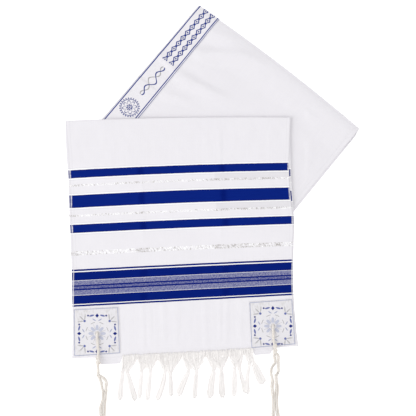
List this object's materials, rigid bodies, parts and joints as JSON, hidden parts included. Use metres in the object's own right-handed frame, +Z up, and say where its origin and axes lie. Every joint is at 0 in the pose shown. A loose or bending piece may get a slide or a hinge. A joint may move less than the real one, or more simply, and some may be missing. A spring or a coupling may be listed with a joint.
{
  "type": "folded tallit prayer shawl",
  "caption": "Striped, fringed prayer shawl with a collar band, corner patches and knotted corner tassels, folded and lying flat.",
  "frame": {"origin": "middle of the footprint, on the surface that the shawl lies on", "axes": "+X towards the right of the picture, +Y from the fringe towards the collar band, +Z up out of the cloth"},
  "size_m": [0.5977, 0.9681, 0.0113],
  "materials": {
    "front_cloth": "fine white weave with woven navy, denim-blue and silver stripes",
    "under_cloth": "fine white weave with woven navy, denim-blue and silver stripes",
    "hidden_cloth": "fine white weave, plain",
    "back_cloth": "fine white weave, plain",
    "collar_band": null,
    "corner_patch": null,
    "fringe_yarn": "loose off-white yarn",
    "tzitzit_yarn": "twisted cream wool yarn"
  },
  "bodies": {
    "root": {"front_panel": "front_cloth", "front_under_panel": "under_cloth", "folded_core": "hidden_cloth", "back_panel": "back_cloth", "collar_band": "collar_band", "corner_patch_left": "corner_patch", "corner_patch_right": "corner_patch", "fringe_front": "fringe_yarn", "fringe_under": "fringe_yarn", "tzitzit_left": "tzitzit_yarn", "tzitzit_right": "tzitzit_yarn"}
  },
  "joints": []
}
